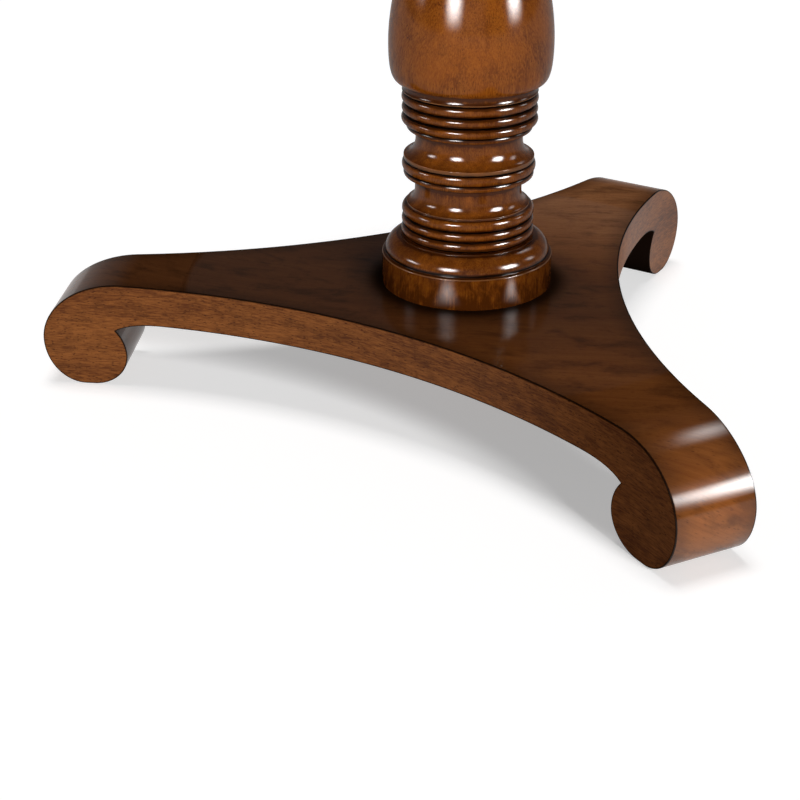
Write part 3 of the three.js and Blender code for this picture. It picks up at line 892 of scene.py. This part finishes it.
def glazed(recipe, colour, cloud):
    """Dark glaze that stayed in the grooves, brushed round, with a brown wash on the open wood that
    is partly runs of glaze and partly painted shade, and arrises a little paler, partly from wear
    and partly as a painted highlight."""
    shelter = recipe.stored("shelter")
    ridge = recipe.stored("ridge")
    wash_and_shade = recipe.stored("wash_and_shade")
    streak = brushed(recipe, (28, 28, 620))
    drip = brushed(recipe, (760, 760, 60))
    rubbed = patches(recipe, recipe.object_place(), 30, 30, 1, 0.4).rising(0.25, 0.80)
    level = shelter * (streak * 1.5 + 0.25) + (cloud - 0.5) * 0.12
    brown = level.rising(0.0, 0.26) * 0.9 + wash_and_shade * (drip * 1.3 + cloud * 2.0 - 0.65)
    # The brown wash is in part painted shade, and the paler ridges are in part a painted highlight
    return recipe.layered(
        colour, (rubbed * 0.42, rubbed_gold), (wash_and_shade * 0.5, amber),
        (brown.math("MINIMUM", 0.96), umber), (ridge.rising(0.8, 1.0) * 0.4, ridge_wear_and_highlight),
        (level.rising(0.30, 0.62) * 0.97, glaze_and_shade))


def turned_finish(name, place, dark, light):
    """Turned or moulded mahogany with dark glaze in its grooves."""
    finish, recipe = new_finish(name)
    colour, relief, cloud = mahogany(
        recipe, place(recipe), (dark, light), turned_pore, mottle=0.12, pores=1.6, figure=0.8,
        fleck=0.8, contrast=1.3, fine=0.55, fibre_size=(24, 1.0))
    recipe.surface(lacquered(recipe, glazed(recipe, colour, cloud), relief, cloud))
    return finish


def plain_finish(name, dark, light, pore, coat):
    """Top veneer or bare wood, with no glaze."""
    finish, recipe = new_finish(name)
    colour, relief, cloud = mahogany(recipe, top_grain(recipe), (dark, light), pore, mottle=0.4,
                                     pores=0.4, figure=2.0)
    recipe.surface(lacquered(recipe, colour, relief, cloud, coat=coat))
    return finish


def base_finish():
    """The veneered top and rolls of the base, and its solid sides, with darkened arrises. The
    lacquer is fuller over the rolls, and nearly gone on the level part of each foot."""
    # Where a change starts and ends, in metres: out along an arm, towards the back or the front,
    # from the axis, and in from a hollow side
    foot_starts, sweep_starts, roll_band = (0.262, 0.268), (0.318, 0.338), (0.32, 0.44)
    back_band, far_back = (-0.02, 0.20), (0.06, 0.26)
    front_band, far_front = (0.05, 0.22), (0.16, 0.30)
    drum_line, drum_shadow_band, drum_shade = (0.0825, 0.0855), (0.085, 0.105), (0.09, 0.14)
    edge_line, edge_band = (0.0008, 0.0017), (0.004, 0.034)
    finish, recipe = new_finish("base_mahogany")
    place = recipe.object_place()
    flat = recipe.socket("ShaderNodeVectorMath", {"operation": "MULTIPLY"},
                         {0: place, 1: (1, 1, 0)})
    off_axis = recipe.measure("LENGTH", flat)
    run = recipe.measure("LENGTH", recipe.stored_place("sheet"))
    backward = recipe.measure("DOT_PRODUCT", place, (0.45, 0.89, 0))
    frontward = recipe.measure("DOT_PRODUCT", place, (0, -1, 0))
    veneered, arris, hidden = [recipe.stored(name) for name in ("veneered", "arris", "hidden")]
    roll = run.rising(*roll_band)
    level_part = run.rising(*foot_starts) * run.falling(*sweep_starts)
    rearward = backward.rising(*far_back)
    forward = frontward.rising(*far_front)

    # Painted light and shade, with the veneer's own figure: the veneer is darker on the level parts
    # and paler over the rolls, at the back and at the front
    pale = roll.math("MAXIMUM", backward.rising(*back_band))
    pale = pale.math("MAXIMUM", frontward.rising(*front_band) * 0.5)
    sheet_pair = [recipe.mix(rearward, recipe.mix(pale, panel, over_roll), rear)
                  for panel, over_roll, rear in zip(panel_pair, roll_pair, rear_pair)]
    top, top_relief, cloud = mahogany(recipe, sheet_grain(recipe), sheet_pair, sheet_pore,
                                      mottle=0.5, pores=0.5, figure=2.0, contrast=0.5)
    side, side_relief, blush = mahogany(
        recipe, side_grain(recipe), side_pair, side_pore, mottle=0.4, pores=1.5, figure=1.3,
        fleck=0.75, fine=0.5, fibre_size=(12, 1.2))
    # The sides turn darker and redder towards the front, partly as painted shade, and a little
    # darker and greyer towards the back
    side = recipe.layered(side, (forward * 0.35, front_shade), (rearward * 0.2, rear_shade))

    # A band darker towards the hollow sides and a dark line at their arris follow the hollow sides,
    # and painted shade darkens the platform round the foot of the drum
    edge = None
    for number in range(3):
        middle = side_heading(number)
        centre = (hollow_reach * mm * math.cos(middle), hollow_reach * mm * math.sin(middle), 0)
        far = recipe.measure("DISTANCE", flat, centre)
        edge = far if edge is None else edge.math("MINIMUM", far)
    inboard = edge - side_radius * mm
    drum_foot_shade = (off_axis + cloud * 0.006).falling(*drum_shadow_band)
    around = (off_axis + cloud * 0.02).falling(*drum_shade)
    top = recipe.layered(
        top, ((inboard + cloud * 0.02).falling(*edge_band) * 0.55, edge_darkening),
        (inboard.falling(*edge_line), glaze_and_shade), (around * 0.5, glaze_and_shade),
        (drum_foot_shade * 0.9, glaze_and_shade))
    # Arrises are darkened, and painted shade, deepest on the back foot, covers the hidden faces
    # under the platform and feet and inside each curl
    colour = recipe.layered(
        side, (veneered, top), ((arris + blush * 0.2).rising(0.5, 1.05) * 0.85, glaze_and_shade),
        (hidden * veneered * (rearward * 0.25 + 0.75), underneath))

    # The painted shade at the drum's foot is dull, and so are the arrises and the hidden face of
    # the back foot
    dull = (drum_foot_shade * 0.95).math("MAXIMUM", off_axis.falling(*drum_line) * 0.9)
    dull = dull.math("MAXIMUM", hidden * rearward * veneered).math("MAXIMUM", arris * 0.5)
    polished = lacquered(recipe, colour, top_relief, cloud, gloss=0.10,
                         coat=(1 - dull) * (roll * 0.5 + 0.2) * (1 - level_part * 0.95))
    satin = lacquered(recipe, colour, side_relief, cloud, gloss=0.28,
                      coat=(1 - dull) * 0.2 + rearward * 0.2 - forward * 0.16)
    recipe.surface(recipe.socket("ShaderNodeMixShader", {}, {0: veneered, 1: satin, 2: polished}))
    return finish


def steel():
    finish, recipe = new_finish("zinc_steel")
    grain = recipe.noise(recipe.object_place(), 3.0, 0.5, scale=900.0)
    colour = recipe.mix(grain, (0.42, 0.43, 0.44), (0.62, 0.63, 0.64))
    recipe.surface(recipe.socket("ShaderNodeBsdfPrincipled", {}, {
        "Base Color": colour, "Metallic": 1.0, "Roughness": grain * 0.2 + 0.28}))
    return finish


column_finish = turned_finish("column_mahogany", upright_grain, (0.17, 0.038, 0.004),
                              (0.41, 0.118, 0.013))
edge_finish = turned_finish("edge_mahogany", curved_grain, (0.13, 0.036, 0.006),
                            (0.31, 0.105, 0.020))
base_wood = base_finish()
top_finish = plain_finish("top_veneer", (0.075, 0.023, 0.007), (0.22, 0.078, 0.022),
                          (0.03, 0.011, 0.004), coat=0.30)
plain_wood = plain_finish("plain_wood", (0.40, 0.26, 0.13), (0.62, 0.45, 0.26),
                          (0.2, 0.11, 0.05), coat=0.0)
steel_finish = steel()

# Column, from the plinth upwards. A moulding is given by the radius that it ends at and its
# height, and a bead by its height and by how far it stands proud
drum = Turning(drum_radius, platform_top).rise(28.6).upright_quarter(79, 1).slope(76.6, 0.6)
drum.rise(1.4).step(77.2).upright_quarter(62.5, 14.2, 26).rise(1.4)
lower = Turning(57.2, drum.points[-1][1])
for height, proud in ((10.4, 4.9), (9.3, 4.5), (10.4, 4.3)):
    lower.bead(height, proud)
lower.rise(2).level_quarter(49.5, 12).rise(9.9)
upper = Turning(49.5, lower.points[-1][1]).slope(58.6, 3.8).bead(5.2, 1.6, 12).bead(9.8, 3.1)
upper.slope(60.2, 0.6).rise(3.6).level_quarter(49.2, 14.8).rise(8).slope(55.2, 1.4)
upper.bead(5.4, 2.6, 14).step(57.4)
for height, proud in ((9.4, 5), (9.5, 4.6), (10.4, 4.8)):
    upper.bead(height, proud)
upper.slope(61.8, 0.7).rise(1).level_quarter(60.4, 6.4, 8).rise(1)
vase_foot = upper.points[-1][1]
swell_height = vase_foot + 34.8
capital_foot = column_head - 146
collar_foot = capital_foot - 22
vase = Turning(63.5, vase_foot)
vase.sweep((71.5, vase_foot), (74.2, swell_height - 24), (74.2, swell_height), 30)
vase.sweep((74.2, swell_height + 62), (36, collar_foot - 55), (36, collar_foot), 60)
collar = Turning(40, collar_foot).rise(4).bead(14, 7, 24).rise(4)
capital = Turning(37, capital_foot).rise(20).upright_quarter(64, 66, 30).rise(5)
capital.level_quarter(76, 18, 20).rise(3).step(80).rise(34)

# Each section with its brown wash, partly painted shade, at its foot and at its head
sections = {
    "column_plinth": (drum, (1.0, 0.42)), "lower_stem": (lower, (0.36, 0.50)),
    "upper_stem": (upper, (0.38, 0.44)), "column_vase": (vase, (0.16, 0.08)),
    "column_collar": (collar, (0, 0)), "column_capital": (capital, (0, 0)),
}
column_walls = [point for turning, _ in sections.values() for point in turning.points]
under_bearers = (400.0, column_head)
column_walls = np.array([*column_walls, under_bearers])
spin = turned_tree()
for name, (turning, wash_and_shade) in sections.items():
    turned(name + "_turned", turning.points, column_finish, "polished_mahogany", name, spin,
           column_walls, wash_and_shade=wash_and_shade)

# Base
piece("platform_panel", platform_mesh("platform_panel"), base_wood, "mahogany_veneer",
      "base_platform")
for arm, angle in arm_angles.items():
    piece(f"scroll_{arm}", scroll_foot_mesh(f"scroll_{arm}", angle), base_wood,
          "polished_mahogany", f"scroll_foot_{arm}")

# Top: the panel, then its edge with a quarter round below, a fillet and a wide round above, and
# the apron with a bead at its foot
around = ring_tree()
panel = Turning(top_radius - edge_width - joint_gap, top_underside)
panel.rise(table_height - top_underside)
turned("top_panel_veneered", panel.points, top_finish, "mahogany_veneer", "top_panel", spin,
       sides=192)
edge = Turning(top_radius - edge_width, top_underside).step(top_radius - 10.5)
edge.upright_quarter(top_radius - 2.5, 7).step(top_radius).rise(3)
edge.to(top_radius, table_height - 16).upright_quarter(top_radius - 12, 16, 24)
edge.step(top_radius - edge_width).to(top_radius - edge_width, top_underside)
ring_of_lengths("moulded_edge", edge.points, edge_finish, "polished_mahogany", "top_edge", around)
rail = Turning(apron_radius - apron_thickness, top_underside - apron_depth).step(apron_radius)
rail.bead(8, 3).to(apron_radius, top_underside).step(apron_radius - apron_thickness)
rail.to(apron_radius - apron_thickness, top_underside - apron_depth)
ring_of_lengths("apron_rail", rail.points, edge_finish, "polished_mahogany", "apron", around)

# Finishes for what keeps its CAD shape
plain = ["bearer_lower", "bearer_upper", "head_dowel_a", "head_dowel_b"]
plain += [f"foot_dowel_{arm}_{letter}" for arm in arm_angles for letter in "ab"]
plain += [f"glue_block_{i + 1}" for i in range(ring_lengths)]
metal = ["tie_rod", "washer_lower", "nut_lower", "washer_upper", "nut_upper"]
metal += [f"bearer_screw_{i + 1}" for i in range(8)]
for names, finish in ((plain, plain_wood), (metal, steel_finish)):
    for name in names:
        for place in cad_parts[name].material_slots:
            place.material = finish

# Floor: white where a ray meets it from the camera, in a mirror or through glass
floor_mesh = bpy.data.meshes.new("studio_floor")
span = 60.0
floor_mesh.from_pydata([(-span, -span, 0), (span, -span, 0), (span, span, 0), (-span, span, 0)],
                       [], [(0, 1, 2, 3)])
floor = placed("studio_floor", floor_mesh)
floor_paint, recipe = new_finish("studio_white")
path = recipe.node("ShaderNodeLightPath").outputs
seen = Amount(recipe, path["Is Camera Ray"]).math("MAXIMUM", path["Is Glossy Ray"])
seen = seen.math("MAXIMUM", path["Is Transmission Ray"])
glow = recipe.socket("ShaderNodeEmission", {}, {"Color": white, "Strength": floor_glow})
paint = (floor_white, floor_white, floor_white, 1)
matt = recipe.socket("ShaderNodeBsdfDiffuse", {}, {"Color": paint})
shaded = recipe.socket("ShaderNodeAddShader", {}, {0: glow, 1: matt})
bounce = recipe.socket("ShaderNodeEmission", {}, {"Color": white, "Strength": floor_bounce})
recipe.surface(recipe.socket("ShaderNodeMixShader", {}, {0: seen, 1: bounce, 2: shaded}))
floor_paint.cycles.emission_sampling = "NONE"
floor_mesh.materials.append(floor_paint)

# World: a white backdrop for the camera, and a dim room that is brighter low behind the table
room_light = 0.08
back_light = 0.55
world = bpy.data.worlds.new("studio")
world.use_nodes = True
world.node_tree.nodes.clear()
scene.world = world
recipe = Recipe(world.node_tree)
_, depth, height = recipe.axes(recipe.socket("ShaderNodeTexCoord", {}, {}, "Generated"))
low = height.falling(-0.05, 0.55)
behind = depth.rising(-0.1, 0.9)
camera_sees = recipe.amount("ShaderNodeLightPath", {}, {}, "Is Camera Ray")
bright = camera_sees + (1 - camera_sees) * (low * behind * back_light + room_light)
sky = recipe.socket("ShaderNodeBackground", {}, {"Color": white, "Strength": bright})
recipe.surface(sky, "World")


# Lamps: soft ones for the table alone, and two suns that draw the shadow of the base on the floor

def group(name, *members, passed_by=False):
    """A collection for the lamps that light its members alone, or that pass them by."""
    made = bpy.data.collections.new(name)
    for member in members:
        made.objects.link(bpy.data.objects[member])
    if passed_by:
        for entry in made.collection_objects:
            entry.light_linking.link_state = "EXCLUDE"
    return made


base_names = ["platform_panel", *(f"scroll_{arm}" for arm in arm_angles)]
all_but_floor = group("all_but_floor", "studio_floor", passed_by=True)
all_but_base = group("all_but_base", "studio_floor", *base_names, passed_by=True)
floor_alone = group("floor_alone", "studio_floor")
base_alone = group("base_alone", *base_names)
front_alone = group("front_alone", "platform_panel", "scroll_front")
front_foot_alone = group("front_foot_alone", "scroll_front")
left_alone = group("left_alone", "scroll_left")
plinth_alone = group("plinth_alone", "column_plinth_turned")
column_alone = group("column_alone", *(name + "_turned" for name in sections))


def round_table(azimuth, distance, height):
    """A place by its azimuth, which is 0 on the viewer's side and 90 on the right."""
    turn = math.radians(azimuth)
    return Vector((distance * math.sin(turn), -distance * math.cos(turn), height))


def floor_sun(name, azimuth, elevation, softness, level, blockers):
    """A sun that lights the floor alone to a level, and is blocked by the given pieces alone."""
    rise = math.radians(elevation)
    sun = bpy.data.lights.new(name, "SUN")
    sun.angle = math.radians(2 * softness)
    sun.energy = math.pi * level / floor_white / math.sin(rise)
    holder = placed(name, sun)
    towards = round_table(azimuth, math.cos(rise), math.sin(rise))
    holder.rotation_mode = "QUATERNION"
    holder.rotation_quaternion = towards.to_track_quat("Z", "Y")
    holder.visible_glossy = False
    holder.light_linking.receiver_collection = floor_alone
    holder.light_linking.blocker_collection = blockers


sun_level = 0.286
floor_sun("floor_sun_high", -160, 84, 12, sun_level, base_alone)
floor_sun("floor_sun_low", 36, 27, 8, sun_level, front_alone)


fade_to_middle = 0.5
lamp_aim = Vector((0, 0, 0.15))


def soft_lamp(name, lit, width, height, radiance, fade):
    """A lamp of one radiance that fades over a share of its size towards its edges."""
    lamp = bpy.data.lights.new(name, "AREA")
    lamp.shape = "RECTANGLE"
    lamp.size = width
    lamp.size_y = height
    lamp.energy = math.pi * width * height * radiance
    if fade:
        lamp.use_nodes = True
        lamp.node_tree.nodes.clear()
        recipe = Recipe(lamp.node_tree)
        spot = recipe.socket("ShaderNodeNewGeometry", {}, {}, "Parametric")
        level = 1.0
        for place in recipe.axes(spot)[:2]:
            level = (0.5 - (place - 0.5).math("ABSOLUTE")).rising(0.0, fade) * level
        glow = recipe.socket("ShaderNodeEmission", {}, {"Color": level, "Strength": 1.0})
        recipe.surface(glow, "Light")
    holder = placed(name, lamp)
    holder.light_linking.receiver_collection = lit
    return holder


def near_glow(name, lit, centre, along, facing, length, width, radiance):
    """A small strip near the table that shows only as a soft reflection on one piece."""
    holder = soft_lamp(name, lit, width, length, radiance, fade_to_middle)
    along = Vector(along).normalized()
    back = -Vector(facing).normalized()
    axes = Matrix((along.cross(back), along, back)).transposed()
    holder.matrix_world = Matrix.Translation(centre) @ axes.to_4x4()
    holder.visible_diffuse = False


def softbox(name, lit, azimuth, distance, low, high, width, radiance, fade=0.0):
    """A soft light round the table, from a low to a high edge, that faces the base."""
    holder = soft_lamp(name, lit, width, high - low, radiance, fade)
    holder.location = round_table(azimuth, distance, (low + high) / 2)
    holder.rotation_mode = "QUATERNION"
    holder.rotation_quaternion = (lamp_aim - holder.location).to_track_quat("-Z", "Y")
    return holder


# Two strips lie on the platform at the plinth's foot, and one hangs over the front foot
near_glow("drum_glow_left", plinth_alone, (-0.033, -0.117, 0.1045), (-0.41, -0.91, 0), (0, 0, 1),
          0.084, 0.042, 17)
near_glow("drum_glow_right", plinth_alone, (0.082, -0.087, 0.1045), (0.90, -0.44, 0), (0, 0, 1),
          0.084, 0.029, 17)
near_glow("foot_glow", front_foot_alone, (0.352, -0.033, 0.468), (0.444, -0.804, 0.390),
          (-0.324, -0.552, -0.768), 0.20, 0.085, 18)

# Strips that show only in reflections, and fills that don't show in them: each with what it
# lights, its azimuth, distance, low and high edge, width, radiance and fade
strips = (
    ("column_strip_left", column_alone, -24, 1.7, 0.36, 1.30, 0.95, 155, 0.5),
    ("column_strip_right", column_alone, 64, 1.7, 0.34, 1.35, 0.95, 225, 0.5),
    ("panel_strip_left", base_alone, -22, 1.7, 0.36, 1.40, 1.15, 2.5, 0.5),
    ("panel_strip_right", base_alone, 67, 1.7, 0.36, 1.40, 0.85, 2.5, 0.5),
    ("foot_strip", front_foot_alone, 67.6, 1.69, 0.30, 1.06, 0.82, 97, 0.5),
    ("side_left", column_alone, -80, 1.8, 0.50, 1.00, 0.9, 50, 0.5),
    ("side_right", column_alone, 104, 1.8, 0.50, 1.30, 0.7, 14, 0.45),
    ("back_right", column_alone, 155, 1.6, 1.15, 2.00, 1.1, 8, 0.5),
)
fills = (
    ("back_fill", all_but_floor, 170, 2.2, 0.30, 1.40, 1.2, 3.0, 0.3),
    ("fill_front", all_but_base, 4, 2.2, 0.25, 1.35, 1.3, 8.2),
    ("fill_base", base_alone, 28, 2.2, 0.25, 1.35, 1.3, 9.4),
    ("fill_left", left_alone, -100, 2.0, 0.30, 1.30, 1.2, 4.5, 0.3),
    ("overhead", all_but_floor, 0, 0.01, 2.6, 3.0, 1.6, 5, 0.2),
)
for lamp in strips:
    softbox(*lamp).visible_diffuse = False
for lamp in fills:
    softbox(*lamp).visible_glossy = False

# Camera, where the photograph was taken from
camera_data = bpy.data.cameras.new("camera")
camera_data.lens = 72.158
camera_data.sensor_width = 36
camera_data.clip_start = 0.05
camera_data.clip_end = 200
camera = placed("camera", camera_data)
right = Vector((0.99802982, 0.06272965, 0.00120962))
up = Vector((-0.02877796, 0.44055578, 0.89726386))
turned_to = Matrix((right, up, right.cross(up))).transposed().to_4x4()
camera.matrix_world = Matrix.Translation((0.02560039, -1.42591261, 0.67510002)) @ turned_to
scene.camera = camera

scene.view_settings.view_transform = "Standard"
